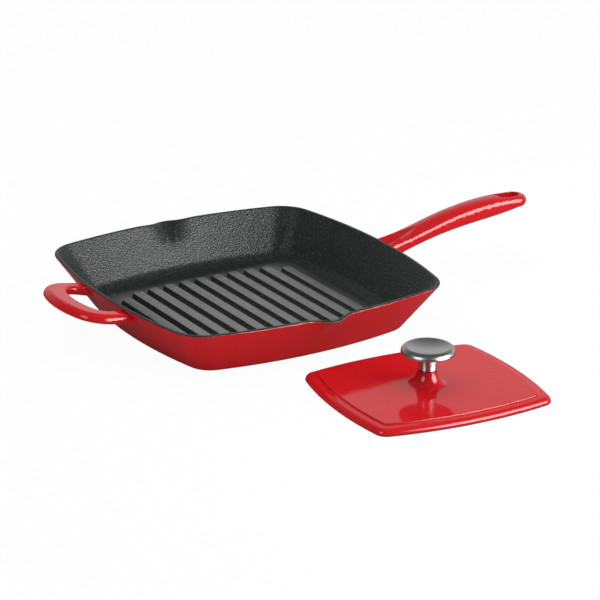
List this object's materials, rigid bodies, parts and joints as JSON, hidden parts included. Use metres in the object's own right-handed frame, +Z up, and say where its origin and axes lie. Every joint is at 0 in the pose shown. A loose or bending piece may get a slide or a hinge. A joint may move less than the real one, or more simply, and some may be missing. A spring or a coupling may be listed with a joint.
{
  "type": "grill pan",
  "caption": "Square enamelled cast-iron grill pan with a ribbed floor, pour spouts, long handle and helper handle, and a loose flat press with a metal knob.",
  "frame": {"origin": "centre of the pan's underside, on the surface that it stands on", "axes": "+Z up, +X from the pan's centre along the long handle, the press stands on the -Y side"},
  "size_m": [0.4764, 0.4395, 0.0633],
  "materials": {
    "cast_iron": "bare grey iron under the enamel",
    "red_enamel": "glossy vitreous enamel",
    "black_enamel": "satin speckled vitreous enamel",
    "stainless_steel": "turned and lightly polished",
    "rubber": "matte"
  },
  "bodies": {
    "pan": {"pan_casting": "cast_iron", "pan_outer_enamel": "red_enamel", "pan_cooking_enamel": "black_enamel", "pan_base_enamel": "black_enamel"},
    "press": {"press_casting": "cast_iron", "press_top_enamel": "red_enamel", "press_under_enamel": "black_enamel", "knob_cap": "stainless_steel", "knob_stem": "stainless_steel", "knob_screw": "stainless_steel", "knob_lock_washer": "stainless_steel", "knob_gasket": "rubber"}
  },
  "joints": [
    {"name": "press_lift", "type": "slide", "parent": "pan", "child": "press", "axis": [0, -0.0998, 0.995], "range_m": [0, 0.15]}
  ]
}
